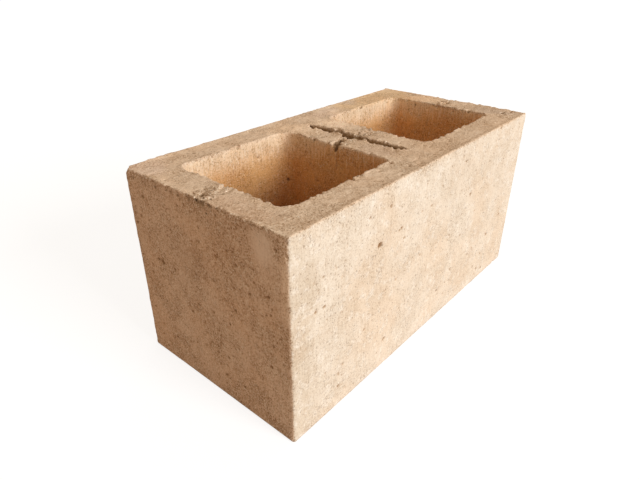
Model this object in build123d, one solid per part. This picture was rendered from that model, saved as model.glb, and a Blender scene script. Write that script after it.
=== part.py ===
"""Hollow concrete fence block with two tapered cores and a splitting slot, in millimetres.

The block is one moulded piece that stands on its bed face. X runs along its length, Y across its
width and Z up, and the origin is the centre of the bottom bed. The mould's cores are drawn out
upwards, so each core and the slot are widest at the top, where the walls around them are thinnest.
"""

import os

from build123d import *

# Outer size of the block
length = 390.0
width = 190.0
height = 188.0
arris_radius = 2.0

# Wall thicknesses at the top bed
side_wall = 31.0
end_wall = 31.0
web_leaf = 26.0

# Cores, measured at the top bed, with their draft in degrees
core_corner_radius = 11.0
core_draft = 1.5

# Slot that lets the block be split into two half blocks, measured at the top bed
slot_width = 10.0
slot_side_wall = 37.5
slot_corner_radius = 3.0
slot_draft = 0.5

# Round-bottomed track that the bar carrying the mould's cores leaves along the top bed
track_width = 12.0
track_depth = 2.5

# How far a cutting tool runs past each face that it opens
overrun = 10.0

top_bed = Plane.XY.offset(height)


def drafted_tool(opening_length, opening_width, corner_radius, draft_angle, centre_x):
    """A tool that cuts an opening of that size in the top bed and narrows on its way down."""
    outline = Pos(centre_x, 0, -overrun) * RectangleRounded(opening_length, opening_width, corner_radius)
    tool = extrude(outline, amount=height + 2 * overrun)
    walls = tool.faces().filter_by(Axis.Z, reverse=True)
    return draft(walls, top_bed, -draft_angle)


def outer_body():
    """The block before anything is cut from it, with its upright arrises eased."""
    body = extrude(Rectangle(length, width), amount=height)
    return fillet(body.edges().filter_by(Axis.Z), arris_radius)


def cores():
    """The tools for the two cores, one each side of the web that holds the slot."""
    web = slot_width + 2 * web_leaf
    core_length = (length - web) / 2 - end_wall
    core_width = width - 2 * side_wall
    core_x = (web + core_length) / 2
    return [
        drafted_tool(core_length, core_width, core_corner_radius, core_draft, side * core_x)
        for side in (-1, 1)
    ]


def splitting_slot():
    """The tool for the narrow slot across the middle of the web."""
    slot_length = width - 2 * slot_side_wall
    return drafted_tool(slot_width, slot_length, slot_corner_radius, slot_draft, 0)


def core_bar_track():
    """The tool for the shallow trough over the end walls and the web."""
    half = track_width / 2
    trough = ThreePointArc((-half, height), (0, height - track_depth), (half, height))
    above = Polyline((half, height), (half, height + overrun), (-half, height + overrun), (-half, height))
    profile = Plane.YZ * make_face([trough, above])
    return extrude(profile, amount=length / 2 + overrun, both=True)


def fence_block():
    """The finished block as one solid."""
    block = outer_body()
    for tool in (*cores(), splitting_slot(), core_bar_track()):
        block -= tool
    return block


os.makedirs("parts", exist_ok=True)
export_step(fence_block(), "parts/fence_block.step")
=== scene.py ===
"""The looks of the hollow concrete fence block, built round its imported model.

The block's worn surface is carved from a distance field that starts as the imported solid, so the
cores, the slot and the core bar's track stay where they are. Roughness, drag lines, pores, crumbled
rims and broken spots are added to that field, which is then turned into one mesh. Field work is in
millimetres, with x along the block, y across it and z up from the bottom bed.
"""

import math
from types import SimpleNamespace

import bmesh
import bpy
import numpy as np
import openvdb
from mathutils import Matrix, Vector


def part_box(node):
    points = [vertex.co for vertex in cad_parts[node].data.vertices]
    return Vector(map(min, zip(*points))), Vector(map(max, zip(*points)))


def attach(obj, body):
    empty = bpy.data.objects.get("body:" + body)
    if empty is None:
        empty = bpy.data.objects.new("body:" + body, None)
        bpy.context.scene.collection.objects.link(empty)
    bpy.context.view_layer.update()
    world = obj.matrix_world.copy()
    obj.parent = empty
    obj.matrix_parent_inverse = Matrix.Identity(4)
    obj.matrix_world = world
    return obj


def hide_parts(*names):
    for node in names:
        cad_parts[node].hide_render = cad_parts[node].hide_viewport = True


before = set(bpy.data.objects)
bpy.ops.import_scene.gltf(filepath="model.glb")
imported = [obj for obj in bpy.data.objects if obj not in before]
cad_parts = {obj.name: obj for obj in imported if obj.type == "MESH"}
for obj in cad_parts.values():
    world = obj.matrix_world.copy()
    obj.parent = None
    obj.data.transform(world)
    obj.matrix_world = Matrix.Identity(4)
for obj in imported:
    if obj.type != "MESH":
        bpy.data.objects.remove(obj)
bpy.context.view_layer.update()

NODE = "fence_block"
MM = 0.001

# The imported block's sizes in millimetres
BLOCK_LOW, BLOCK_HIGH = (np.array(corner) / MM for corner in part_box(NODE))
LENGTH, WIDTH, HEIGHT = BLOCK_HIGH - BLOCK_LOW
END = LENGTH / 2
SIDE = WIDTH / 2

# Grid of the distance field, then the finished mesh's most triangles and shortest edge
VOXEL = 1.1
BAND = 6.0
MARGIN_CELLS = 5
MOST_TRIANGLES = 190000
LEAST_EDGE = 0.01

# Seeds of the field's noises and of the random places
SEEDS = {
    "ripple": 11, "rougher": 21, "swells": 22, "grain": 23, "clods": 24, "drag": 25, "burr": 31, "lip": 32,
    "wear": 41, "crumble": 42, "arris": 43, "chips": 44, "clusters": 51, "places": 61, "track": 71,
    "crack": 81, "patches": 91,
}

# Spacing of a noise along an axis on which it doesn't change
UNCHANGING = 400.0

# How far in from the beds and the walls their own texture reaches: all of it, then none of it
BED_FADE = (1.0, 3.5)
WALL_FADE = (2.0, 4.0)

# Broad unevenness of every face: spacing of the swells and their height
SWELL_SPACING = 46.0
SWELL_HEIGHT = 0.16

# Sand texture and drag lines: spacing, then the height on each kind of face
GRAIN_SPACING = 1.9
GRAIN_HEIGHT = {"top": 0.15, "bed": 0.12, "end": 0.15, "side": 0.05, "core": 0.12}
CLOD_SPACING = 4.5
CLOD_HEIGHT = {"top": 0.12, "bed": 0.12, "end": 0.10, "side": 0.04, "core": 0.12}
DRAG_SPACING = (2.1, 2.1, 34.0)
DRAG_HEIGHT = {"top": 0.0, "bed": 0.0, "end": 0.08, "side": 0.04, "core": 0.20}

# Rougher areas: spacing, noise levels, then what calm ones keep of the texture and rough ones add
ROUGHER_SPACING = 34.0
ROUGHER_LEVELS = (-1.6, 1.0)
ROUGHER_GRAIN = (0.45, 0.75)
ROUGHER_DRAG = (0.4, 0.8)

# Calm strip of the top bed beside its long edges: its reach, and how much of the texture it loses
LONG_EDGE_FADE = (3.0, 9.0)
LONG_EDGE_CALM = 0.65

# Pores of each kind of face: how many to a square centimetre, and their usual radius
PORES = {
    "top": (0.9, 0.80), "bed": (1.2, 1.1), "end": (2.8, 0.82), "side": (0.7, 0.80), "core": (0.6, 0.80)
}
DENSEST_PORES = max(count for count, _ in PORES.values())

# How much the pores vary in radius and shape, their largest radius, and how deep they sit
PORE_SPREAD = 0.22
PORE_STRETCH = (0.75, 1.5)
PORE_LARGEST = 1.4
PORE_SINK = 0.1

# Depth inside the surface at which the kind of face is read
JUST_INSIDE = 0.5

# Loose clusters of pores: spacing, strength, and the least and most that they change the number
CLUSTER_SPACING = 15.0
CLUSTER_STRENGTH = 0.5
CLUSTER_LIMITS = (0.2, 2.0)

# More pores under the lip of the end faces: how many to a square centimetre, and down to what depth
PORES_UNDER_LIP = 13.0
UNDER_LIP_FADE = (4.0, 11.0)

# How near to an edge pores may open, and how much nearer under the lip, from that share of the height
PORE_EDGE = 0.35
LIP_PORE_EDGE = 0.5
LIP_PORES_FROM = 0.9

# Depth under the top bed from which rims are lifted and the track is filled, and where raggedness is read
RIM_BASE = 9.0
RIM_READ = 2.0

# Top bed's lip: height, width, the inner rims' share of it, its swells, and where it counts as outer
LIP_HEIGHT = 1.1
LIP_WIDTH = 7.0
INNER_LIP = 0.25
LIP_SWELL = 0.1
LIP_SWELL_SPACING = 16.0
OUTER_RIM = (-14.0, -8.0)

# Ragged burr on the lip: height, width, spacing, its swells and how far any of it may rise
BURR_HEIGHT = 0.9
BURR_WIDTH = 2.2
BURR_SPACING = 2.0
BURR_SWELL = 0.3
BURR_PEAK = 2.0
MOST_LIFT = 3.0

# How ragged each kind of edge is: the bed's, the upright ones, then the top's on each side and inside
RAGGED = {
    "bed": 0.04, "upright": 0.12, "long": 0.08, "near end": 0.9, "far end": 0.45, "inner": 0.9, "slot": 1.9
}
RIM_FADE = (3.0, 7.0)
OUTLINE_FADE = (4.0, 8.0)
SLOT_REACH = 9.0
SLOT_FADE = 6.0

# Reach of the blur that finds outward edges, and its readings where wear starts and is full
EDGE_REACH = 3.0
WEAR_EDGE = (0.7, 1.7)

# Wear along those edges: depth, spacing and noise levels
WEAR_DEPTH = 0.2
WEAR_SPACING = 14.0
WEAR_LEVELS = (-0.8, 1.8)

# Crumbled and chipped edges: spacing and depth, and the raggedness from which chips come in
CRUMBLE_SPACING = 1.8
CRUMBLE_DEPTH = 0.70
CHIP_SPACING = 4.6
CHIP_DEPTH = 0.55
CHIP_FROM = (0.3, 0.6)

# Small bites out of the edges: chance, least edge reading, radii, their spread and how far out they sit
BITE_CHANCE = 0.20
BITE_EDGE = 0.8
BITE_RADII = (1.0, 1.0, 1.3)
BITE_SPREAD = 0.35
BITE_OUT = 0.3

# Crumbs on the inner rims: chance, least edge reading, radius, depth and the raggedness that has them
CRUMB_CHANCE = 0.10
CRUMB_EDGE = 0.5
CRUMB_RADIUS = 0.75
CRUMB_SINK = 0.5
CRUMB_RAGGED = (0.3, 1.0)
CRUMB_CLEAR_OF_END = 6.0
CRUMB_CLEAR_OF_SIDE = 14.0

# Upright arris in front, which is rubbed rough: its place, reach and depth, worn evenly and in grains
WORN_ARRIS = (-195.0, -95.0)
WORN_ARRIS_REACH = 6.0
WORN_ARRIS_CORE = 0.4
WORN_ARRIS_DEPTH = 0.20
WORN_EVENLY = 0.4
WORN_IN_GRAINS = 0.9

# Top corner on the left, which is knocked off: how far along each edge, and how unevenly
KNOCKED_REACH = 5.0
KNOCKED_ROUGH = 0.45

# Core bar's track: its half width, wider in the near end wall, and how far its rubble fades beside it
TRACK_HALF = 8.0
NEAR_RUBBLE_HALF = 15.0
NEAR_RUBBLE_LAST = -95.0
TRACK_CORE = 0.5
TRACK_FADE = 3.0

# Rubble in the track: how deep it leaves it, how deep it is broken up, and how rough it is
TRACK_LEFT = 0.4
RUBBLE_DEPTH = 4.0
TRACK_SPACING = 2.2
TRACK_ROUGH = 0.80
TRACK_PEAK = 0.7
TRACK_EDGE = (0.2, 1.0)
TRACK_EDGE_CALM = 0.85

# Ripple on holes and crumbs: spacing, share of their radius, and the room that it takes round them
RIPPLE_SPACING = 2.2
RIPPLE_SHARE = 0.25
RIPPLE_ROOM = 1.7

# Holes seen along the track, the slot and the rims: centre, then radii
HOLES = (
    ((-185, 3, 187.4), (2.3, 1.9, 3.2)),
    ((-181, 4, 187.8), (1.7, 1.2, 2.3)),
    ((-180, -5, 187.8), (1.6, 2.0, 2.1)),
    ((-186, -1, 187.8), (1.6, 1.5, 2.3)),
    ((-173, 4, 187.8), (1.7, 1.5, 2.0)),
    ((-190, 9, 188.0), (1.4, 1.6, 1.8)),
    ((-188, -9, 188.0), (1.5, 1.4, 1.7)),
    ((-174, -3, 188.2), (1.5, 1.7, 1.5)),
    ((-171, 0, 188.2), (1.2, 1.6, 1.5)),
    ((-177, 11, 188.2), (1.4, 1.3, 1.6)),
    ((-195, -4, 185.3), (2.4, 2.4, 2.6)),
    ((-195, -2, 186.7), (2.0, 2.2, 2.2)),
    ((-195, -8, 185.4), (2.0, 2.2, 2.4)),
    ((-195, 8, 185.0), (1.8, 2.4, 2.6)),
    ((-195, 11, 186.9), (1.6, 2.0, 1.8)),
    ((-195, -17, 186.9), (1.7, 2.4, 1.8)),
    ((-195, -26, 187.2), (1.5, 2.2, 1.6)),
    ((-195, -33, 187.2), (1.5, 2.4, 1.5)),
    ((-195, 22, 186.8), (1.5, 2.2, 1.7)),
    ((-195, 35, 186.6), (1.4, 2.6, 1.6)),
    ((-195, 52, 186.6), (1.4, 2.0, 1.6)),
    ((-36, -3, 184.0), (4.0, 3.4, 6.0)),
    ((-30, 0, 185.0), (4.6, 3.4, 7.0)),
    ((-23, 2.5, 185.5), (4.2, 3.2, 6.0)),
    ((-17, 4.5, 186.0), (3.8, 2.8, 5.0)),
    ((-6, 3, 186.5), (3.8, 3.4, 6.0)),
    ((4, -3, 187.0), (3.2, 1.8, 3.5)),
    ((14, -6, 187.5), (9.0, 1.3, 2.2)),
    ((1, 60, 186.5), (2.6, 4.0, 6.0)),
    ((181, 1, 187.0), (4.5, 2.0, 4.5)),
    ((184, 7, 186.8), (2.4, 4.0, 4.5)),
    ((176, -3, 188.0), (4.0, 1.6, 3.0)),
    ((-97, 62, 188.0), (2.2, 3.0, 3.0)),
    ((-38, 55, 187.5), (3.0, 3.0, 3.0)),
    ((95, 65, 188.0), (4.0, 2.2, 3.0)),
    ((133, 64, 188.5), (3.0, 2.0, 2.4)),
    ((-33, -18, 187.4), (2.0, 1.8, 2.0)),
    ((-32, -30, 187.4), (1.8, 2.6, 1.8)),
    ((-30, -40, 187.6), (1.8, 1.6, 1.6)),
    ((-113, 84, 188.6), (1.6, 1.6, 1.8)),
    ((-175, 46, 188.4), (1.5, 1.5, 1.4)),
    ((-32, -83, 188.4), (2.2, 1.2, 1.6)),
    ((-23, -87, 188.4), (2.8, 1.0, 1.4)),
    ((22, -82, 188.4), (2.2, 1.1, 1.5)),
    ((27, -88, 188.4), (1.8, 1.2, 1.6)),
    ((33, -83, 188.4), (2.8, 1.1, 1.5)),
    ((182, -72, 187.2), (4.8, 2.0, 4.2)),
    ((189, -79, 187.6), (2.6, 1.4, 3.0)),
    ((175, -77, 188.4), (3.4, 1.6, 2.2)),
    ((168, -70, 188.6), (2.2, 1.3, 1.6)),
    ((182, -84, 188.6), (2.6, 1.2, 1.6)),
    ((-195, 68, 186.8), (1.4, 2.4, 1.5)),
    ((-195, 78, 186.4), (1.5, 2.0, 1.7)),
    ((128, -95, 187.2), (2.4, 2.2, 2.2)),
)

# Crumbs seen standing on the track's banks and the rims: centre, then radii
CRUMBS = (
    ((-168, 4, 187.9), (3.0, 2.2, 1.1)),
    ((-191, 4, 187.9), (1.5, 1.2, 0.9)),
    ((-189, -5, 187.9), (1.3, 1.1, 0.9)),
    ((-30, 6, 187.6), (3.4, 1.3, 1.0)),
    ((14, 2.5, 187.4), (5.0, 1.4, 1.3)),
    ((23, 3.5, 187.6), (4.0, 1.5, 1.4)),
    ((2, -61, 188.0), (3.0, 1.8, 1.1)),
    ((178, -10, 187.6), (4.0, 2.6, 1.0)),
)

# Pits seen on the long face, as places along x and z with a radius
SIDE_PITS = (
    (-88, 137.5, 3.2), (-69, 185.5, 2.6), (-5, 177, 2.2), (-3, 172, 1.6), (32, 155, 2.2),
    (76, 129, 2.6), (-29, 46, 2.2), (-72, 30, 2.4), (-68, 29, 1.6), (-139, 21, 2.2),
    (-136, 19, 1.5), (167, 72, 2.8), (92, 50, 2.6), (96, 46, 1.7), (-56, 141, 1.9),
    (-67, 134, 1.9), (-51, 129, 1.9), (-132, 157, 1.7), (-139, 156, 1.4), (-127, 119, 1.7),
    (-60, 120, 1.7), (19, 122, 1.8), (137, 57, 1.9), (-186, 169, 1.9), (-133, 162, 1.3),
)
SIDE_PIT_SIZE = 0.72
SIDE_PIT_SHAPE = (1.1, 1.1, 0.9)

# Pits seen on the near end, as places along y and z with a radius
END_PITS = (
    (59, 109, 2.6), (64, 110, 1.8), (41, 133, 1.8), (-35, 103, 1.9), (-66, 113, 1.7),
    (13, 86, 2.0), (43, 58, 1.9), (34, 35, 2.0), (69, 15, 2.0), (19, 69, 1.7),
    (-73, 68, 1.7), (90, 138, 1.9), (70, 147, 1.7), (-3, 30, 1.9), (11, 148, 1.8),
    (12, 153, 1.6), (-50, 50, 1.8), (-21, 47, 2.0), (-38, 25, 1.7), (4, 52, 1.6),
)
END_PIT_SIZE = 0.85
END_PIT_SHAPE = (1.1, 1.1, 1.0)

# Upright crack in the web under the notch: where it runs, how wide and deep it is, and how it wanders
CRACK_X = -31.0
CRACK_Y = -2.0
CRACK_HIGH = 184.0
CRACK_LOW = 163.0
CRACK_HALF = 0.8
CRACK_DEPTH = 0.8
CRACK_TAPER = 0.4
CRACK_WANDER = 0.8
CRACK_WANDER_SPACING = 6.0

# Softness of the line between two faces' colours, and how deep a hollow shows the open concrete
FACE_BLEND = 0.35
FACE_LIMITS = (-3.0, 20.0)
OPEN_DEPTH = 1.5

# Where the slot's painted shade colour ends: beside the slot, and short of the block's sides
SLOT_COLOUR_FADE = 2.0
SLOT_CLEAR_OF_SIDE = 15.0

# Depths of the hollows that the material darkens with painted shade, and edge readings of the rims that it
# roughens
HOLLOW_DEPTHS = (0.5, 1.7)
ROUGH_EDGE = (0.5, 1.5)

# Surface area in square centimetres, tries for each pore of the densest kind, and tries for broken rims
SURFACE_CM2 = 5400
PORE_TRIES = 2
RIM_TRIES = 60000

# Colour of each kind of face as linear red, green and blue, partly painted light and shade: the long sides
# paler and less saturated for the key light on them, the ends darker and browner for their shade, the slot
# dark for the shade inside it; then the colour of the painted shade down the cores
FACE_COLOUR_AND_LIGHT = {
    "top": (0.88, 0.665, 0.475),
    "bed": (0.74, 0.54, 0.38),
    "end": (0.75, 0.517, 0.343),
    "side": (0.85, 0.73, 0.585),
    "core": (0.92, 0.69, 0.46),
    "slot": (0.44, 0.26, 0.12),
}
CORE_SHADE_COLOUR = (0.73, 0.388, 0.145)

# How the painted shade deepens down the cores: depths where it starts and is full, and how far ahead each
# far wall is, as those walls face away from the key light; the right core's far wall is then painted paler,
# as painted light
CORE_SHADE_DEPTHS = (-1.0, 32.0)
FAR_WALL_DEEPER = (17.0, 10.0)
FAR_WALL_FADE = (48.0, 60.0)
FAR_WALL_SHADE = (-5.0, 45.0)
CORE_MIDDLE = 97.5
RIGHT_CORE_PAINTED_LIGHT = 0.14

# Tints of the clouds, rough patches, blooms (on the long faces partly painted light), mottles and grains,
# and the dark colour used both for dirt and for painted shade
WARM_CLOUD = (0.98, 0.92, 0.86)
ROUGH_PATCH = (0.90, 0.87, 0.83)
PALE_BLOOM = (0.95, 0.85, 0.72)
DARK_MOTTLE = (0.80, 0.73, 0.66)
DARK_GRAIN = (0.52, 0.42, 0.33)
PALE_GRAIN = (0.98, 0.84, 0.66)
DIRT_AND_SHADE = (0.28, 0.165, 0.085)

# How much pale cement skin each kind of face keeps, on the long faces partly painted light for the key light
# on them, how coarse its grain looks and how many pinholes it has
SKIN_AND_LIGHT = {"top": 0.1, "bed": 0.0, "end": 0.1, "side": 1.0, "core": 0.1, "slot": 0.0}
COARSE = {"top": 1.0, "bed": 1.1, "end": 1.08, "side": 0.6, "core": 0.8, "slot": 0.8}
COARSE_RIM = 0.7
PINHOLES = {"top": 0.35, "bed": 0.6, "end": 0.8, "side": 0.6, "core": 0.35, "slot": 0.3}

# Rougher band under the near end's top edge, and rougher patch round its lower front corner
BAND_DEPTH = 11.0
BAND_CORE = 0.3
BAND_COARSE = 0.4
BAND_PINHOLES = 0.9
CORNER_REACH = 75.0
CORNER_CORE = 0.2
CORNER_COARSE = 0.5

# Rougher rubble on the track
RUBBLE_COARSE = 0.7
RUBBLE_PINHOLES = 1.0
RUBBLE_FADE = 4.0

# Smooth smear of cement on the near end: middle across and up, radii, smoothness and depth without pores
SMEAR_MIDDLE = (-72.0, 170.0)
SMEAR_RADII = (13.0, 19.0)
SMEAR_SMOOTH = 0.8
SMEAR_SKIN = 5.0

# Paler and darker patches seen on the block: face, middle, radii and change of colour
PATCHES = (
    ("end", SMEAR_MIDDLE, SMEAR_RADII, (1.08, 1.17, 1.28)),
    ("end", (-91, 160), (5, 46), (1.16, 1.20, 1.22)),
    ("end", (70, 165), (28, 22), (1.08, 1.11, 1.15)),
    ("end", (20, 128), (34, 16), (0.90, 0.88, 0.86)),
    ("side", (-188, 94), (20, 140), (0.90, 0.87, 0.83)),
    ("top", (-182, 80), (16, 22), (1.08, 1.11, 1.21)),
    ("top", (-180, -40), (16, 36), (0.94, 0.91, 0.90)),
    ("top", (20, 42), (11, 26), (1.34, 1.38, 1.42)),
    ("top", (-24, 58), (26, 26), (1.16, 1.17, 1.17)),
    ("top", (-20, -38), (12, 16), (0.88, 0.85, 0.84)),
    ("top", (48, 78), (24, 14), (1.18, 1.22, 1.32)),
    ("top", (178, 25), (14, 28), (1.22, 1.16, 1.08)),
    ("top", (140, 72), (70, 26), (1.08, 1.01, 0.85)),
    ("top", (182, -72), (16, 24), (0.86, 0.88, 0.93)),
)
PATCH_FADE = (0.55, 1.25)
PATCH_WAVER = 0.22
PATCH_WAVER_SPACING = 16.0

# Depths between which the streaked fringe under the rims of the cores fades
FRINGE_DEPTHS = (5.0, 34.0)

# Noises of the material: size of their features in millimetres, detail and roughness
CLOUD = (60.0, 3.0, 0.5)
PATCH = (26.0, 4.0, 0.6)
MOTTLE = (7.0, 4.0, 0.65)
FLECK = (3.4, 4.0, 0.75)
SPECKLE = (1.4, 2.0, 0.7)
LINE = (1.6, 3.0, 0.65)
VEIN = (9.0, 3.0, 0.7)

# Squeeze that draws fine noise out into upright lines
DRAG_SQUEEZE = (1.0, 1.0, 0.085)

# Pinholes: spacing, distances from full to none, the turns that leave some out, and how they are bent
PINHOLE_SPACING = 3.2
PINHOLE_SIZE = (0.14, 0.32, 1.0, 0.0)
PINHOLE_TURNS = (0.45, 0.85)
BEND_SPACING = 2.0
BEND_REACH = 1.8

# Hair cracks along the middle value of a noise: distances from full to none, and the mottle that has them
VEIN_MIDDLE = 0.5
VEIN_WIDTH = (0.004, 0.02, 1.0, 0.0)
VEIN_PLACES = (0.50, 0.62)

# Layers of colour: noise where each starts and is full, and for some its least and most strength
CLOUD_SPAN = (0.35, 0.70)
GRAIN_PATCH_SPAN = (0.40, 0.60, 1.15, 0.65)
ROUGH_PATCH_SPAN = (0.60, 0.40, 0.0, 0.8)
BLOOM_SPAN = (0.50, 0.66, 0.0, 0.6)
MOTTLE_SPAN = (0.47, 0.70)
DARK_GRAIN_SPAN = (0.50, 0.70)
PALE_GRAIN_SPAN = (0.47, 0.28, 0.0, 0.6)
DARK_STREAK_SPAN = (0.48, 0.66)
FRINGE_STREAK_SPAN = (0.0, 1.0, 0.35, 0.65)
PALE_STREAK_SPAN = (0.48, 0.32, 0.0, 0.38)
DIRT_FLECK_SPAN = (0.67, 0.76, 0.0, 0.60)

# How much of the dark colour goes into pinholes, hair cracks and hollows: painted shade in the pinholes and
# hollows, dirt in the hair cracks
PINHOLE_SHADE = 0.85
VEIN_DIRT = 0.40
HOLLOW_SHADE = 0.80

# Fine relief: share of each noise, its height in millimetres and its strength
SPECKLE_RELIEF = 0.7
FLECK_RELIEF = -1.2
LINE_RELIEF = 0.35
PINHOLE_RELIEF = 0.8
RELIEF_HEIGHT = 0.9
RELIEF_STRENGTH = 0.9

# Dull dry surface
DRY_ROUGHNESS = 0.95
DRY_GLOSS = 0.22

# Light: the key's level, colour, spread, turn from the front and height, then the surround
KEY_LEVEL = 1.0
KEY_COLOUR = (0.755, 0.82, 0.883)
KEY_SPREAD = 26.0
KEY_TURN = 7.0
KEY_RISE = 19.5
SURROUND_LEVEL = 0.50
SURROUND_COLOUR = (1.0, 0.84, 0.67)
WHITE = (1.0, 1.0, 1.0)

# Floor: its size and gap under the block in metres, then its colours and its glow to the camera
FLOOR_SIZE = 40.0
FLOOR_GAP = 0.0002
FLOOR_COLOUR = (0.60, 0.50, 0.45)
FLOOR_SHADE = (0.35, 0.35, 0.35)
FLOOR_GLOW = 0.80

# Camera: place in millimetres, turns in degrees, and lens as pixels across a frame of 640
CAMERA_PLACE = (-397.6, -295.4, 344.2)
CAMERA_TURN = -49.40
CAMERA_RISE = 28.88
CAMERA_ROLL = 0.14
FOCAL_PIXELS = 515.4
FRAME_PIXELS = 640
SENSOR = 36.0


def smooth(value, low, high):
    """Rises smoothly from 0 at low to 1 at high."""
    t = np.clip((value - low) / (high - low), 0.0, 1.0)
    return t * t * (3.0 - 2.0 * t)


def spline_weights(positions, spacing):
    """Weights of a cubic lattice with that spacing at each position along one axis."""
    steps = (positions - positions[0]) / spacing
    cell = np.floor(steps).astype(int)
    u = (steps - cell).astype(np.float32)
    weights = np.zeros((len(positions), cell[-1] + 4), np.float32)
    rows = np.arange(len(positions))
    weights[rows, cell] = (1 - u) ** 3 / 6
    weights[rows, cell + 1] = (3 * u**3 - 6 * u**2 + 4) / 6
    weights[rows, cell + 2] = (-3 * u**3 + 3 * u**2 + 3 * u + 1) / 6
    weights[rows, cell + 3] = u**3 / 6
    return weights


def blurred(values, reach):
    """The values averaged over a box that reaches that many millimetres each way."""
    cells = max(1, round(reach / VOXEL))
    width = 2 * cells + 1
    for axis in range(3):
        padding = [(0, 0)] * 3
        padding[axis] = (cells + 1, cells)
        sums = np.cumsum(np.pad(values, padding, mode="edge"), axis=axis, dtype=np.float64)
        count = values.shape[axis]
        upper = np.take(sums, range(width, width + count), axis=axis)
        lower = np.take(sums, range(0, count), axis=axis)
        values = ((upper - lower) / width).astype(np.float32)
    return values


def packed_mesh(node):
    """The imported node's corner points in millimetres and its triangles."""
    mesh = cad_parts[node].data
    mesh.calc_loop_triangles()
    points = np.empty(3 * len(mesh.vertices), np.float32)
    mesh.vertices.foreach_get("co", points)
    triangles = np.empty(3 * len(mesh.loop_triangles), np.int32)
    mesh.loop_triangles.foreach_get("vertices", triangles)
    return points.reshape(-1, 3) / MM, triangles.reshape(-1, 3)


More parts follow.
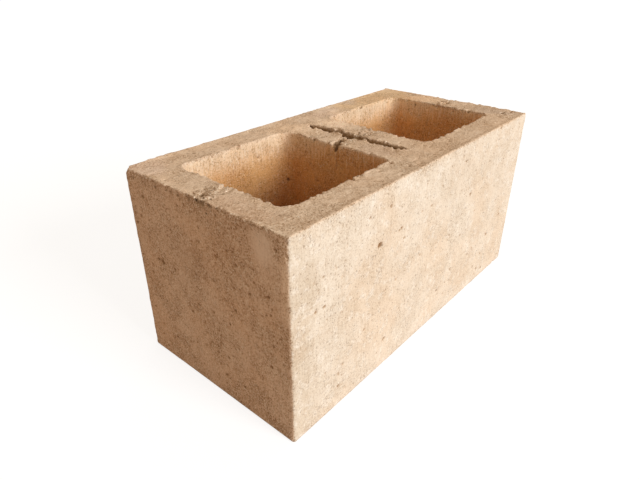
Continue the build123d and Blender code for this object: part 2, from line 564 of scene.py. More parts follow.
class Field:
    """Signed distances to the block's surface on a regular grid, negative inside the concrete."""

    def __init__(self, points, triangles):
        self.start = np.floor(BLOCK_LOW / VOXEL).astype(int) - MARGIN_CELLS
        end = np.ceil(BLOCK_HIGH / VOXEL).astype(int) + MARGIN_CELLS
        self.axes = [
            np.arange(first, last + 1, dtype=np.float32) * VOXEL for first, last in zip(self.start, end)
        ]
        self.x = self.axes[0][:, None, None]
        self.y = self.axes[1][None, :, None]
        self.z = self.axes[2][None, None, :]
        level_set = openvdb.FloatGrid.createLevelSetFromPolygons(
            points,
            triangles=triangles.astype(np.uint32),
            transform=openvdb.createLinearTransform(voxelSize=VOXEL),
            halfWidth=BAND / VOXEL,
        )
        self.solid = np.empty([len(axis) for axis in self.axes], np.float32)
        level_set.copyToArray(self.solid, ijk=self.corner())
        self.filled = self.solid
        self.value = self.solid.copy()
        self.edge = blurred(self.solid, EDGE_REACH) - self.solid
        self.kinds = self.face_kinds()
        self.ragged = self.edge_raggedness()
        self.ripple = self.noise("ripple", RIPPLE_SPACING)

    def corner(self):
        """The grid's first cell, as openvdb counts cells."""
        return tuple(int(first) for first in self.start)

    def layer(self, height):
        """The number of the first layer of cells at that height or above it."""
        return np.searchsorted(self.axes[2], height)

    def face_kinds(self):
        """How much each cell belongs to each kind of face."""
        top = smooth(self.z, HEIGHT - BED_FADE[1], HEIGHT - BED_FADE[0])
        bed = 1.0 - smooth(self.z, *BED_FADE)
        wall = 1.0 - top - bed
        end = smooth(np.abs(self.x), END - WALL_FADE[1], END - WALL_FADE[0]) * wall
        side = smooth(np.abs(self.y), SIDE - WALL_FADE[1], SIDE - WALL_FADE[0]) * (wall - end)
        return {"top": top, "bed": bed, "end": end, "side": side, "core": wall - end - side}

    def edge_raggedness(self):
        """How ragged the nearest edge of each cell is."""
        high = smooth(self.z, HEIGHT - RIM_FADE[1], HEIGHT - RIM_FADE[0])
        low = 1.0 - smooth(self.z, *RIM_FADE)
        at_end = smooth(np.abs(self.x), END - OUTLINE_FADE[1], END - OUTLINE_FADE[0])
        at_side = smooth(np.abs(self.y), SIDE - OUTLINE_FADE[1], SIDE - OUTLINE_FADE[0]) * (1.0 - at_end)
        inner = 1.0 - at_end - at_side
        at_slot = 1.0 - smooth(np.abs(self.x), SLOT_REACH, SLOT_REACH + SLOT_FADE)
        end = np.where(self.x < 0.0, RAGGED["near end"], RAGGED["far end"])
        top = end * at_end + RAGGED["long"] * at_side + inner * (
            RAGGED["inner"] * (1.0 - at_slot) + RAGGED["slot"] * at_slot
        )
        return high * top + low * RAGGED["bed"] + (1.0 - high - low) * RAGGED["upright"]

    def by_kind(self, amounts):
        """An amount for each cell, from the amounts for each kind of face."""
        return sum(self.kinds[kind] * amount for kind, amount in amounts.items())

    def noise(self, name, spacing):
        """Smooth random values with unit spread, whose lattice has that spacing along each axis."""
        weights = [spline_weights(axis, step) for axis, step in zip(self.axes, np.broadcast_to(spacing, 3))]
        lattice = np.random.default_rng(SEEDS[name]).standard_normal(
            [matrix.shape[1] for matrix in weights], dtype=np.float32
        )
        values = np.tensordot(weights[0], lattice, 1)
        values = np.matmul(weights[1], values)
        values = np.matmul(values, weights[2].T)
        return values / values.std()

    def lump(self, centre, radii):
        """Distances to a rippled ellipsoid, and the window of the grid that they cover."""
        radii = np.broadcast_to(radii, 3)
        window = []
        squares = 0.0
        for number, (axis, middle, radius) in enumerate(zip(self.axes, centre, radii)):
            first = np.searchsorted(axis, middle - RIPPLE_ROOM * radius - VOXEL)
            last = np.searchsorted(axis, middle + RIPPLE_ROOM * radius + VOXEL)
            window.append(slice(first, last))
            shape = [1, 1, 1]
            shape[number] = -1
            squares = squares + (((axis[first:last] - middle) / radius) ** 2).reshape(shape)
        window = tuple(window)
        size = radii.min()
        return (np.sqrt(squares) - 1.0) * size + RIPPLE_SHARE * size * self.ripple[window], window

    def cut(self, centre, radii):
        """Takes a rippled ellipsoid out of the block."""
        distances, window = self.lump(centre, radii)
        self.value[window] = np.maximum(self.value[window], -distances)

    def add(self, centre, radii):
        """Joins a rippled ellipsoid to the block."""
        distances, window = self.lump(centre, radii)
        self.value[window] = np.minimum(self.value[window], distances)

    def shares(self, points):
        """How much each point belongs to each kind of face."""
        shape = self.value.shape
        return {kind: self.sample(np.broadcast_to(part, shape), points) for kind, part in self.kinds.items()}

    def sample(self, values, points):
        """The values at each point, between the cells' own."""
        steps = points / VOXEL - self.start
        cell = np.floor(steps).astype(int)
        part = steps - cell
        total = 0.0
        for corner in np.ndindex(2, 2, 2):
            weight = np.prod(np.where(corner, part, 1.0 - part), axis=1)
            index = cell + corner
            total = total + weight * values[index[:, 0], index[:, 1], index[:, 2]]
        return total


def surface_points(points, triangles, rng, count):
    """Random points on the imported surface, with its outward directions there."""
    first, second, third = (points[triangles[:, corner]] for corner in range(3))
    cross = np.cross(second - first, third - first)
    double_area = np.linalg.norm(cross, axis=1)
    chosen = rng.choice(len(triangles), count, p=double_area / double_area.sum())
    u, v = rng.random((2, count, 1))
    flip = u + v > 1.0
    u, v = np.where(flip, 1.0 - u, u), np.where(flip, 1.0 - v, v)
    spots = first[chosen] + u * (second - first)[chosen] + v * (third - first)[chosen]
    return spots, cross[chosen] / double_area[chosen, None]


def roughen(field):
    """Gives every face its swells, its sand texture and the lines that the mould drags down it."""
    rougher = smooth(field.noise("rougher", ROUGHER_SPACING), *ROUGHER_LEVELS)
    beside_edge = smooth(np.abs(field.y), SIDE - LONG_EDGE_FADE[1], SIDE - LONG_EDGE_FADE[0])
    kept = 1.0 - LONG_EDGE_CALM * beside_edge * field.kinds["top"]
    grain = field.by_kind(GRAIN_HEIGHT) * kept * (ROUGHER_GRAIN[0] + ROUGHER_GRAIN[1] * rougher)
    drag = field.by_kind(DRAG_HEIGHT) * (ROUGHER_DRAG[0] + ROUGHER_DRAG[1] * rougher)
    field.value += SWELL_HEIGHT * kept * field.noise("swells", SWELL_SPACING)
    field.value += grain * field.noise("grain", GRAIN_SPACING)
    field.value += field.by_kind(CLOD_HEIGHT) * kept * field.noise("clods", CLOD_SPACING)
    field.value += drag * field.noise("drag", DRAG_SPACING)


def rim_lift(field):
    """How far each column of cells rises, for the lip and the ragged burr on it."""
    base = field.layer(HEIGHT - RIM_BASE)
    inward = -field.solid[:, :, base]
    ripple = field.noise("burr", (BURR_SPACING, BURR_SPACING, UNCHANGING))[:, :, base]
    swell = field.noise("lip", (LIP_SWELL_SPACING, LIP_SWELL_SPACING, UNCHANGING))[:, :, base]
    outer = smooth(np.maximum(np.abs(field.x) - END, np.abs(field.y) - SIDE)[:, :, 0], *OUTER_RIM)
    lip = LIP_HEIGHT * (INNER_LIP + (1.0 - INNER_LIP) * outer) * (1.0 - smooth(inward, 0.0, LIP_WIDTH))
    lip = lip * (1.0 + LIP_SWELL * swell)
    burr = BURR_HEIGHT * (1.0 - smooth(inward, 0.0, BURR_WIDTH))
    burr = burr * np.clip(ripple + BURR_SWELL * swell, 0.0, BURR_PEAK)
    ragged = field.ragged[:, :, field.layer(HEIGHT - RIM_READ)]
    return np.clip(lip + burr * ragged, 0.0, MOST_LIFT)


def raise_rims(field):
    """Lifts the rims along the top bed's outer edges and round its openings."""
    lift = rim_lift(field) / VOXEL
    whole = np.floor(lift).astype(int)
    part = lift - whole
    rows, columns = np.indices(lift.shape)
    source = field.value.copy()
    for layer in range(field.layer(HEIGHT - RIM_BASE), len(field.axes[2])):
        near = source[rows, columns, layer - whole]
        far = source[rows, columns, layer - whole - 1]
        field.value[:, :, layer] = near * (1.0 - part) + far * part


def wear_arrises(field):
    """Crumbles and chips every outward edge as much as its kind is."""
    outward = smooth(field.edge, *WEAR_EDGE)
    uneven = smooth(field.noise("wear", WEAR_SPACING), *WEAR_LEVELS)
    crumbled = WEAR_DEPTH * uneven + CRUMBLE_DEPTH * field.noise("crumble", CRUMBLE_SPACING)
    chipped = CHIP_DEPTH * smooth(field.ragged, *CHIP_FROM) * field.noise("chips", CHIP_SPACING)
    field.value += outward * (field.ragged * crumbled + chipped)


def rub_front_arris(field):
    """Rubs the upright arris in front rough."""
    outward = smooth(field.edge, *WEAR_EDGE)
    away = np.hypot(field.x - WORN_ARRIS[0], field.y - WORN_ARRIS[1])
    near = 1.0 - smooth(away, WORN_ARRIS_CORE * WORN_ARRIS_REACH, WORN_ARRIS_REACH)
    worn = WORN_EVENLY * outward + WORN_IN_GRAINS * field.noise("arris", GRAIN_SPACING)
    field.value += WORN_ARRIS_DEPTH * near * worn


def fill_track(field):
    """Fills the core bar's track with rubble to just under the top bed."""
    inside = field.solid[:, :, field.layer(HEIGHT - RIM_BASE)][:, :, None]
    rubble = np.maximum(field.z - (HEIGHT - TRACK_LEFT), inside)
    field.value = np.minimum(field.value, rubble)
    field.filled = np.minimum(field.solid, rubble)


def break_up_track(field):
    """Leaves the rubble in the track rough, and calmer beside the edges."""
    half = np.where(field.x < NEAR_RUBBLE_LAST, NEAR_RUBBLE_HALF, TRACK_HALF)
    track = 1.0 - smooth(np.abs(field.y), TRACK_CORE * half, half + TRACK_FADE)
    upper = smooth(field.z, HEIGHT - RIM_BASE, HEIGHT - RUBBLE_DEPTH)
    clear = 1.0 - TRACK_EDGE_CALM * smooth(field.edge, *TRACK_EDGE)
    broken = np.maximum(field.noise("track", TRACK_SPACING), -TRACK_PEAK)
    field.value += TRACK_ROUGH * track * upper * clear * broken


def mark_damage(field):
    """Opens the holes and pits seen on the block and stands its crumbs up."""
    for centre, radii in HOLES:
        field.cut(centre, np.array(radii, float))
    for centre, radii in CRUMBS:
        field.add(centre, np.array(radii, float))
    for along, height, radius in SIDE_PITS:
        field.cut((along, -SIDE, height), SIDE_PIT_SIZE * radius * np.array(SIDE_PIT_SHAPE))
    for across, height, radius in END_PITS:
        field.cut((-END, across, height), END_PIT_SIZE * radius * np.array(END_PIT_SHAPE))


def knock_off_corner(field):
    """Breaks the left corner of the top bed off along a rough slanted plane."""
    beyond = field.y - field.x + field.z - (END + SIDE + HEIGHT - KNOCKED_REACH)
    field.value = np.maximum(field.value, beyond / math.sqrt(3.0) + KNOCKED_ROUGH * field.ripple)


def crack_web(field):
    """Opens the upright crack in the web's wall."""
    wander = field.noise("crack", (UNCHANGING, UNCHANGING, CRACK_WANDER_SPACING))[0, 0] * CRACK_WANDER
    beside = np.abs(field.y - CRACK_Y - wander) - CRACK_HALF
    along = np.maximum(CRACK_LOW - field.z, field.z - CRACK_HIGH)
    into = np.abs(field.x - CRACK_X) - CRACK_DEPTH
    crack = np.maximum(np.maximum(beside, along * CRACK_TAPER), into)
    field.value = np.maximum(field.value, -crack)


def stand_flat(field):
    """Flattens what would reach below the floor."""
    field.value = np.maximum(field.value, -field.z)


def scatter_pores(field, spots, directions, rng):
    """Opens random pores in every face, in loose clusters."""
    cluster = field.sample(field.noise("clusters", CLUSTER_SPACING), spots)
    edge = field.sample(field.edge, spots)
    turns = rng.random(len(spots))
    sizes = np.exp(PORE_SPREAD * rng.standard_normal(len(spots)))
    stretch = rng.uniform(*PORE_STRETCH, (len(spots), 3))
    shares = field.shares(spots - JUST_INSIDE * directions)
    density = sum(shares[kind] * count for kind, (count, _) in PORES.items())
    radius = sum(shares[kind] * usual for kind, (_, usual) in PORES.items())
    under_lip = smooth(spots[:, 2], HEIGHT - UNDER_LIP_FADE[1], HEIGHT - UNDER_LIP_FADE[0])
    density += PORES_UNDER_LIP * shares["end"] * under_lip
    clustered = np.clip(1.0 + CLUSTER_STRENGTH * cluster, *CLUSTER_LIMITS)
    wanted = density / DENSEST_PORES * clustered / PORE_TRIES
    on_near_end = spots[:, 0] < SMEAR_SKIN - END
    wanted *= 1.0 - on_near_end * within(spots[:, 1], spots[:, 2], SMEAR_MIDDLE, SMEAR_RADII, 0.0)
    high_on_end = shares["end"] * (spots[:, 2] > LIP_PORES_FROM * HEIGHT)
    clear_of_edge = edge < PORE_EDGE + LIP_PORE_EDGE * high_on_end
    for index in np.flatnonzero((turns < wanted) & clear_of_edge):
        size = min(radius[index] * sizes[index], PORE_LARGEST)
        centre = spots[index] - directions[index] * size * PORE_SINK
        field.cut(centre, size * stretch[index])


def crumble_rims(field, spots, directions, rng):
    """Breaks small bites out of the outward edges and leaves crumbs standing on the inner upper ones."""
    edge = field.sample(field.edge, spots)
    ragged = field.sample(field.ragged, spots)
    turns = rng.random(len(spots))
    sizes = np.exp(BITE_SPREAD * rng.standard_normal(len(spots)))
    for index in np.flatnonzero((edge > BITE_EDGE) & (turns < BITE_CHANCE * ragged)):
        field.cut(spots[index] + directions[index] * BITE_OUT, sizes[index] * np.array(BITE_RADII))
    clear_of_end = np.abs(spots[:, 0]) < END - CRUMB_CLEAR_OF_END
    clear_of_side = np.abs(spots[:, 1]) < SIDE - CRUMB_CLEAR_OF_SIDE
    crumbly = (ragged > CRUMB_RAGGED[0]) & (ragged < CRUMB_RAGGED[1]) & (clear_of_end | clear_of_side)
    for index in np.flatnonzero(crumbly & (edge > CRUMB_EDGE) & (1.0 - turns < CRUMB_CHANCE * ragged)):
        field.add(spots[index] - directions[index] * CRUMB_SINK, CRUMB_RADIUS * sizes[index])


def surface_mesh(field):
    """The field's surface as a closed mesh of even four-sided faces."""
    grid = openvdb.FloatGrid()
    grid.copyFromArray(field.value, ijk=field.corner())
    grid.transform = openvdb.createLinearTransform(voxelSize=VOXEL)
    points, _, quads = grid.convertToPolygons(isovalue=0.0, adaptivity=0.0)
    mesh = bpy.data.meshes.new(NODE)
    mesh.vertices.add(len(points))
    mesh.vertices.foreach_set("co", (points * MM).ravel())
    mesh.loops.add(4 * len(quads))
    mesh.loops.foreach_set("vertex_index", quads.ravel())
    mesh.polygons.add(len(quads))
    mesh.polygons.foreach_set("loop_start", np.arange(0, 4 * len(quads), 4))
    mesh.update(calc_edges=True)
    mesh.validate()
    return mesh


def thinned(mesh):
    """The mesh in about the most triangles allowed, as one clean shell."""
    raw = bpy.data.objects.new("raw_surface", mesh)
    bpy.context.scene.collection.objects.link(raw)
    thinner = raw.modifiers.new("thinner", "DECIMATE")
    thinner.ratio = min(1.0, MOST_TRIANGLES / (2 * len(mesh.polygons)))
    evaluated = raw.evaluated_get(bpy.context.evaluated_depsgraph_get())
    finished = bpy.data.meshes.new_from_object(evaluated)
    bpy.data.objects.remove(raw)
    drop_loose_bits(finished)
    finished.shade_smooth()
    return finished


def drop_loose_bits(mesh):
    """Joins the points of needle-thin triangles, and deletes what doesn't touch the block's own surface."""
    surface = bmesh.new()
    surface.from_mesh(mesh)
    bmesh.ops.remove_doubles(surface, verts=surface.verts, dist=LEAST_EDGE * MM)
    joined = set()
    front = {min(surface.verts, key=lambda point: point.co.z)}
    while front:
        joined |= front
        front = {edge.other_vert(point) for point in front for edge in point.link_edges} - joined
    loose = [point for point in surface.verts if point not in joined]
    bmesh.ops.delete(surface, geom=loose, context="VERTS")
    surface.to_mesh(mesh)
    surface.free()


def nearest_faces(points):
    """How much each point shows the colour of each kind of face, with crisp lines between them."""
    along, across, up = np.abs(points[:, 0]), np.abs(points[:, 1]), points[:, 2]
    inward = {"top": HEIGHT - up, "bed": up, "end": END - along, "side": SIDE - across}
    inward["core"] = np.full(len(points), OPEN_DEPTH)
    closeness = {
        kind: np.exp(-np.clip(depth, *FACE_LIMITS) / FACE_BLEND) for kind, depth in inward.items()
    }
    total = sum(closeness.values())
    shares = {kind: part / total for kind, part in closeness.items()}
    # The slot's walls take the dark slot colour, painted shade for the inside of the narrow slot
    beside_slot = 1.0 - smooth(along, SLOT_REACH, SLOT_REACH + SLOT_COLOUR_FADE)
    shares["slot"] = shares["core"] * beside_slot * (across < SIDE - SLOT_CLEAR_OF_SIDE)
    shares["core"] = shares["core"] - shares["slot"]
    return shares


def within(first, second, middle, radii, waver):
    """1 in the middle of a patch and 0 beyond its uneven edge."""
    away = np.hypot((first - middle[0]) / radii[0], (second - middle[1]) / radii[1])
    return 1.0 - smooth(away + waver, *PATCH_FADE)


def texture_readings(points, shares, waver, field):
    """How hollow, skinned, coarse, pinholed and streaked each point's concrete is."""
    along, across, up = points.T
    below_top = HEIGHT - up
    near_end = shares["end"] * (along < 0.0)
    rim = smooth(field.sample(field.edge, points), *ROUGH_EDGE)
    band = near_end * (1.0 - smooth(below_top, BAND_CORE * BAND_DEPTH, BAND_DEPTH))
    from_corner = np.hypot(across + SIDE, up)
    corner = near_end * (1.0 - smooth(from_corner, CORNER_CORE * CORNER_REACH, CORNER_REACH))
    rubble = shares["top"] * (1.0 - smooth(np.abs(across), TRACK_HALF, TRACK_HALF + RUBBLE_FADE))
    smear = near_end * within(across, up, SMEAR_MIDDLE, SMEAR_RADII, waver)
    coarse = sum(COARSE[kind] * share for kind, share in shares.items()) + COARSE_RIM * rim
    coarse += BAND_COARSE * band + CORNER_COARSE * corner + RUBBLE_COARSE * rubble
    pinholes = sum(PINHOLES[kind] * share for kind, share in shares.items())
    pinholes += BAND_PINHOLES * band + RUBBLE_PINHOLES * rubble
    return {
        "hollow": smooth(-field.sample(field.filled, points), *HOLLOW_DEPTHS),
        "skin": sum(SKIN_AND_LIGHT[kind] * share for kind, share in shares.items()),
        "coarse": coarse * (1.0 - SMEAR_SMOOTH * smear),
        "pinholes": pinholes * (1.0 - smear),
        "fringe": shares["core"] * (1.0 - smooth(below_top, *FRINGE_DEPTHS)),
    }


def face_tones(points, shares):
    """Each point's colour from its face, partly painted light, with painted shade that makes it warmer and
    darker down the cores and sooner on their far walls, and painted light that makes the right core's far
    wall paler.
    """
    along, across, up = points.T
    tones = sum(share[:, None] * rgba(FACE_COLOUR_AND_LIGHT[kind]) for kind, share in shares.items())
    in_core = np.where(along < 0.0, along + CORE_MIDDLE, along - CORE_MIDDLE)
    far_wall = smooth(in_core, *FAR_WALL_FADE)
    deeper = np.where(along < 0.0, *FAR_WALL_DEEPER) * far_wall
    depth = HEIGHT - up + deeper * (1.0 - smooth(across, *FAR_WALL_SHADE))
    # Painted shade: warmer and darker with depth down the cores, sooner on the far walls, which face away
    # from the key light
    painted_core_shade = (shares["core"] * smooth(depth, *CORE_SHADE_DEPTHS))[:, None]
    tones += painted_core_shade * (np.array(rgba(CORE_SHADE_COLOUR)) - rgba(FACE_COLOUR_AND_LIGHT["core"]))
    # Painted light: the right core's far wall is made paler
    return tones * (1.0 + (shares["core"] * (along > 0.0) * far_wall * RIGHT_CORE_PAINTED_LIGHT)[:, None])


def tint_patches(tones, points, shares, waver):
    """Changes the colours in the patches seen on the block."""
    along, across, up = points.T
    places = {
        "top": (along, across, shares["top"]),
        "side": (along, up, shares["side"] * (across < 0.0)),
        "end": (across, up, shares["end"] * (along < 0.0)),
    }
    for face, middle, radii, change in PATCHES:
        first, second, share = places[face]
        amount = share * within(first, second, middle, radii, waver)
        tones *= 1.0 + amount[:, None] * (np.array(rgba(change)) - 1.0)


def keep_readings(mesh, field):
    """Stores on the mesh what its material needs to know about each point of the surface."""
    points = np.empty(3 * len(mesh.vertices), np.float32)
    mesh.vertices.foreach_get("co", points)
    points = points.reshape(-1, 3) / MM
    shares = nearest_faces(points)
    waver = PATCH_WAVER * field.sample(field.noise("patches", PATCH_WAVER_SPACING), points)
    for name, values in texture_readings(points, shares, waver, field).items():
        attribute = mesh.attributes.new(name, "FLOAT", "POINT")
        attribute.data.foreach_set("value", values.astype(np.float32))
    tones = face_tones(points, shares)
    tint_patches(tones, points, shares, waver)
    attribute = mesh.attributes.new("tone_and_painted_light", "FLOAT_COLOR", "POINT")
    attribute.data.foreach_set("color", tones.astype(np.float32).ravel())


def rgba(colour):
    """A colour with full opacity."""
    return (*colour, 1.0)


class Graph:
    """A material's or world's node tree, built one node at a time."""

    def __init__(self, owner):
        owner.use_nodes = True
        self.tree = owner.node_tree
        self.tree.nodes.clear()

    def add(self, kind, inputs=None, **settings):
        """Adds a node whose inputs are sockets to link from or plain values."""
        node = self.tree.nodes.new(kind)
        for name, value in settings.items():
            setattr(node, name, value)
        for name, value in (inputs or {}).items():
            if isinstance(value, bpy.types.NodeSocket):
                self.tree.links.new(value, node.inputs[name])
            else:
                node.inputs[name].default_value = value
        return node

    def reading(self, name, output="Fac"):
        """A value or a colour kept on the mesh."""
        return self.add("ShaderNodeAttribute", attribute_name=name).outputs[output]

    def math(self, operation, first, second=0.0, clamp=False):
        """Arithmetic on two values."""
        inputs = {0: first, 1: second}
        return self.add("ShaderNodeMath", inputs, operation=operation, use_clamp=clamp).outputs[0]

    def vector_math(self, operation, inputs):
        """Arithmetic on a vector."""
        return self.add("ShaderNodeVectorMath", inputs, operation=operation).outputs[0]

    def span(self, value, low, high, to_low=0.0, to_high=1.0):
        """The value's range from low to high, spread smoothly over another range."""
        inputs = {"Value": value, "From Min": low, "From Max": high, "To Min": to_low, "To Max": to_high}
        return self.add("ShaderNodeMapRange", inputs, interpolation_type="SMOOTHSTEP").outputs[0]

    def mix(self, factor, first, second, blend="MIX"):
        """A blend of two colours, through the mix node's own sockets for colours."""
        inputs = {0: factor, 6: first, 7: second}
        return self.add("ShaderNodeMix", inputs, data_type="RGBA", blend_type=blend).outputs[2]

    def noise(self, place, size, detail, roughness):
        """Noise whose features are about that many millimetres across."""
        inputs = {"Vector": place, "Scale": 1.0 / (size * MM), "Detail": detail, "Roughness": roughness}
        return self.add("ShaderNodeTexNoise", inputs).outputs["Fac"]


def concrete_noises(graph):
    """The noises and readings that the concrete's colour and relief are both made from."""
    place = graph.add("ShaderNodeTexCoord").outputs["Object"]
    drawn_out = graph.vector_math("MULTIPLY", {0: place, 1: DRAG_SQUEEZE})
    bend = graph.add("ShaderNodeTexNoise", {"Vector": place, "Scale": 1.0 / (BEND_SPACING * MM)})
    bend = graph.vector_math("SCALE", {0: bend.outputs["Color"], 3: BEND_REACH * MM})
    bent = graph.vector_math("ADD", {0: place, 1: bend})
    parts = {name: graph.reading(name) for name in ("hollow", "skin", "coarse", "fringe")}
    parts["cloud"] = graph.noise(place, *CLOUD)
    parts["patches"] = graph.noise(place, *PATCH)
    parts["mottle"] = graph.noise(place, *MOTTLE)
    parts["flecks"] = graph.noise(place, *FLECK)
    parts["speckle"] = graph.noise(place, *SPECKLE)
    parts["lines"] = graph.noise(drawn_out, *LINE)
    parts["veins"] = hair_cracks(graph, bent, parts["mottle"])
    parts["pinholes"] = pinholes(graph, bent)
    grain_patches = graph.span(parts["patches"], *GRAIN_PATCH_SPAN)
    parts["rough"] = graph.math("MULTIPLY", parts["coarse"], grain_patches)
    return SimpleNamespace(**parts)


def pinholes(graph, place):
    """Small round holes, left out here and there and more in number where the surface has more."""
    cells = graph.add("ShaderNodeTexVoronoi", {"Vector": place, "Scale": 1.0 / (PINHOLE_SPACING * MM)})
    holes = graph.span(cells.outputs["Distance"], *PINHOLE_SIZE)
    turn = graph.add("ShaderNodeSeparateColor", {0: cells.outputs["Color"]}).outputs[0]
    holes = graph.math("MULTIPLY", holes, graph.span(turn, *PINHOLE_TURNS))
    return graph.math("MULTIPLY", holes, graph.reading("pinholes"))


def hair_cracks(graph, place, mottle):
    """Thin wandering lines where the mottle is strong."""
    away = graph.math("ABSOLUTE", graph.math("SUBTRACT", graph.noise(place, *VEIN), VEIN_MIDDLE))
    return graph.math("MULTIPLY", graph.span(away, *VEIN_WIDTH), graph.span(mottle, *VEIN_PLACES))


def concrete_colour(graph, seen):
    """Clouds, rough patches, blooms, grains, streaks, dirt, and painted shade in pinholes and hollows, laid
    in turn over the block's tones, which already hold painted light and shade.
    """
    colour = graph.reading("tone_and_painted_light", "Color")
    colour = graph.mix(graph.span(seen.cloud, *CLOUD_SPAN), colour, rgba(WARM_CLOUD), "MULTIPLY")
    rough_patches = graph.math("MULTIPLY", graph.span(seen.patches, *ROUGH_PATCH_SPAN), seen.coarse, True)
    colour = graph.mix(rough_patches, colour, rgba(ROUGH_PATCH), "MULTIPLY")
    # Pale bloom of the cement skin, on the long faces partly painted light
    bloom = graph.math("MULTIPLY", graph.span(seen.mottle, *BLOOM_SPAN), seen.skin)
    colour = graph.mix(bloom, colour, rgba(PALE_BLOOM))
    dark_patches = graph.math("MULTIPLY", graph.span(seen.flecks, *MOTTLE_SPAN), seen.rough, True)
    colour = graph.mix(dark_patches, colour, rgba(DARK_MOTTLE), "MULTIPLY")
    dark_grains = graph.math("MULTIPLY", graph.span(seen.speckle, *DARK_GRAIN_SPAN), seen.rough, True)
    colour = graph.mix(dark_grains, colour, rgba(DARK_GRAIN), "MULTIPLY")
    pale_grains = graph.math("MULTIPLY", graph.span(seen.speckle, *PALE_GRAIN_SPAN), seen.rough, True)
    colour = graph.mix(pale_grains, colour, rgba(PALE_GRAIN))
    under_rims = graph.span(seen.fringe, *FRINGE_STREAK_SPAN)
    dark_streaks = graph.math("MULTIPLY", graph.span(seen.lines, *DARK_STREAK_SPAN), under_rims)
    colour = graph.mix(dark_streaks, colour, rgba(DARK_MOTTLE), "MULTIPLY")
    pale_streaks = graph.math("MULTIPLY", graph.span(seen.lines, *PALE_STREAK_SPAN), seen.fringe)
    colour = graph.mix(pale_streaks, colour, rgba(PALE_GRAIN))
    colour = graph.mix(graph.span(seen.flecks, *DIRT_FLECK_SPAN), colour, rgba(DIRT_AND_SHADE))
    # Painted shade in the pinholes and hollows, dirt in the hair cracks
    dirt_and_shade_fills = (seen.pinholes, PINHOLE_SHADE), (seen.veins, VEIN_DIRT), (seen.hollow, HOLLOW_SHADE)
    for holder, strength in dirt_and_shade_fills:
        colour = graph.mix(graph.math("MULTIPLY", holder, strength), colour, rgba(DIRT_AND_SHADE))
    return colour


def concrete_relief(graph, seen):
    """The bump of the grains, the drag lines and the pinholes."""
    grains = graph.math("MULTIPLY", seen.speckle, SPECKLE_RELIEF)
    relief = graph.math("ADD", grains, graph.math("MULTIPLY", seen.flecks, FLECK_RELIEF))
    relief = graph.math("ADD", relief, graph.math("MULTIPLY", seen.lines, LINE_RELIEF))
    relief = graph.math("SUBTRACT", relief, graph.math("MULTIPLY", seen.pinholes, PINHOLE_RELIEF))
    relief = graph.math("MULTIPLY", relief, seen.rough)
    inputs = {"Height": relief, "Distance": RELIEF_HEIGHT * MM, "Strength": RELIEF_STRENGTH}
    return graph.add("ShaderNodeBump", inputs).outputs[0]


def concrete_material():
    """Sandy beige pressed concrete: grains, pinholes, drag lines, pale skin that is partly painted light,
    dirt, and painted shade in pinholes, hollows and down the cores.
    """
    material = bpy.data.materials.new("pressed_concrete")
    graph = Graph(material)
    seen = concrete_noises(graph)
    shader = graph.add("ShaderNodeBsdfPrincipled", {
        "Base Color": concrete_colour(graph, seen),
        "Roughness": DRY_ROUGHNESS,
        "Specular IOR Level": DRY_GLOSS,
        "Normal": concrete_relief(graph, seen),
    })
    graph.add("ShaderNodeOutputMaterial", {"Surface": shader.outputs[0]})
    return material


def paper_white_floor():
    """A wide pale floor that the camera sees as white, with the block's soft shadow kept on it."""
    mesh = bpy.data.meshes.new("studio_floor")
    half = FLOOR_SIZE / 2
    corners = [(-half, -half, 0), (half, -half, 0), (half, half, 0), (-half, half, 0)]
    mesh.from_pydata(corners, [], [(0, 1, 2, 3)])
    floor = bpy.data.objects.new("studio_floor", mesh)
    bpy.context.scene.collection.objects.link(floor)
    floor.location.z = -FLOOR_GAP
    material = bpy.data.materials.new("studio_floor")
    graph = Graph(material)
    seen = seen_directly(graph)
    plain = graph.add("ShaderNodeBsdfDiffuse", {"Color": rgba(FLOOR_COLOUR)}).outputs[0]
    shaded = graph.add("ShaderNodeBsdfDiffuse", {"Color": rgba(FLOOR_SHADE)}).outputs[0]
    lit = graph.add("ShaderNodeEmission", {"Strength": FLOOR_GLOW}).outputs[0]
    white = graph.add("ShaderNodeAddShader", {0: shaded, 1: lit}).outputs[0]
    both = graph.add("ShaderNodeMixShader", {0: seen, 1: plain, 2: white}).outputs[0]
    graph.add("ShaderNodeOutputMaterial", {"Surface": both})
    mesh.materials.append(material)


def seen_directly(graph):
    """1 for what the camera sees, straight or in a reflection or through glass, and 0 otherwise."""
    path = graph.add("ShaderNodeLightPath").outputs
    seen = graph.math("MAXIMUM", path["Is Camera Ray"], path["Is Glossy Ray"])
    return graph.math("MAXIMUM", seen, path["Is Transmission Ray"])


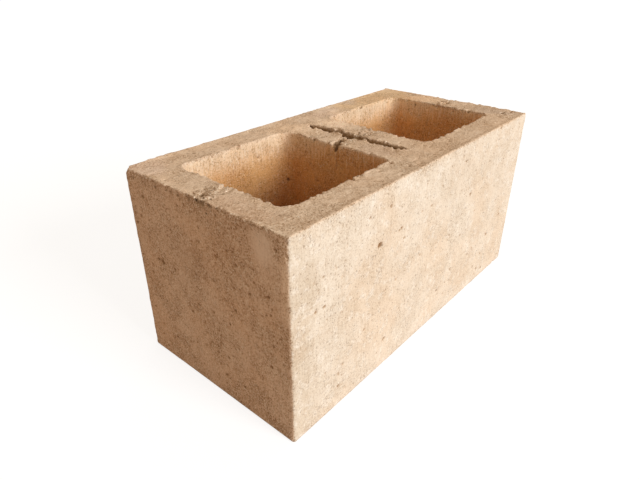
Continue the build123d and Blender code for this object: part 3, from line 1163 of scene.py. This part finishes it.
def studio_light():
    """A broad low key from the front and right, and a soft warm surround."""
    key = bpy.data.lights.new("key", "SUN")
    key.energy = math.pi * KEY_LEVEL
    key.color = KEY_COLOUR
    key.angle = math.radians(KEY_SPREAD)
    holder = bpy.data.objects.new("key", key)
    bpy.context.scene.collection.objects.link(holder)
    turn, rise = math.radians(KEY_TURN), math.radians(KEY_RISE)
    towards = Vector((math.sin(turn) * math.cos(rise), -math.cos(turn) * math.cos(rise), math.sin(rise)))
    holder.rotation_euler = towards.to_track_quat("Z", "Y").to_euler()

    world = bpy.data.worlds.new("surround")
    graph = Graph(world)
    soft = graph.add("ShaderNodeBackground", {"Color": rgba(SURROUND_COLOUR), "Strength": SURROUND_LEVEL})
    white = graph.add("ShaderNodeBackground", {"Color": rgba(WHITE), "Strength": 1.0})
    inputs = {0: seen_directly(graph), 1: soft.outputs[0], 2: white.outputs[0]}
    graph.add("ShaderNodeOutputWorld", {"Surface": graph.add("ShaderNodeMixShader", inputs).outputs[0]})
    bpy.context.scene.world = world


def photograph_camera():
    """The camera at the photograph's place, turn and lens."""
    lens = bpy.data.cameras.new("camera")
    lens.sensor_width = SENSOR
    lens.lens = FOCAL_PIXELS / FRAME_PIXELS * SENSOR
    camera = bpy.data.objects.new("camera", lens)
    bpy.context.scene.collection.objects.link(camera)
    turn, rise = math.radians(CAMERA_TURN), math.radians(CAMERA_RISE)
    back = Vector((math.sin(turn) * math.cos(rise), -math.cos(turn) * math.cos(rise), math.sin(rise)))
    roll = Matrix.Rotation(math.radians(CAMERA_ROLL), 3, "Z").to_quaternion()
    camera.rotation_euler = (back.to_track_quat("Z", "Y") @ roll).to_euler()
    camera.location = Vector(CAMERA_PLACE) * MM
    bpy.context.scene.camera = camera


def worn_field(points, triangles):
    """The block's field with all its texture and damage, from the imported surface."""
    field = Field(points, triangles)
    roughen(field)
    fill_track(field)
    break_up_track(field)
    raise_rims(field)
    wear_arrises(field)
    rub_front_arris(field)
    rng = np.random.default_rng(SEEDS["places"])
    pore_tries = int(PORE_TRIES * SURFACE_CM2 * DENSEST_PORES)
    scatter_pores(field, *surface_points(points, triangles, rng, pore_tries), rng)
    crumble_rims(field, *surface_points(points, triangles, rng, RIM_TRIES), rng)
    mark_damage(field)
    knock_off_corner(field)
    crack_web(field)
    stand_flat(field)
    return field


def cast_block():
    """The block with its worn surface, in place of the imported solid."""
    field = worn_field(*packed_mesh(NODE))
    mesh = thinned(surface_mesh(field))
    keep_readings(mesh, field)
    mesh.materials.append(concrete_material())
    block = bpy.data.objects.new("worn_block", mesh)
    bpy.context.scene.collection.objects.link(block)
    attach(block, "root")
    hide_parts(NODE)


photograph_camera()
studio_light()
paper_white_floor()
cast_block()

bpy.context.scene.view_settings.view_transform = "Standard"
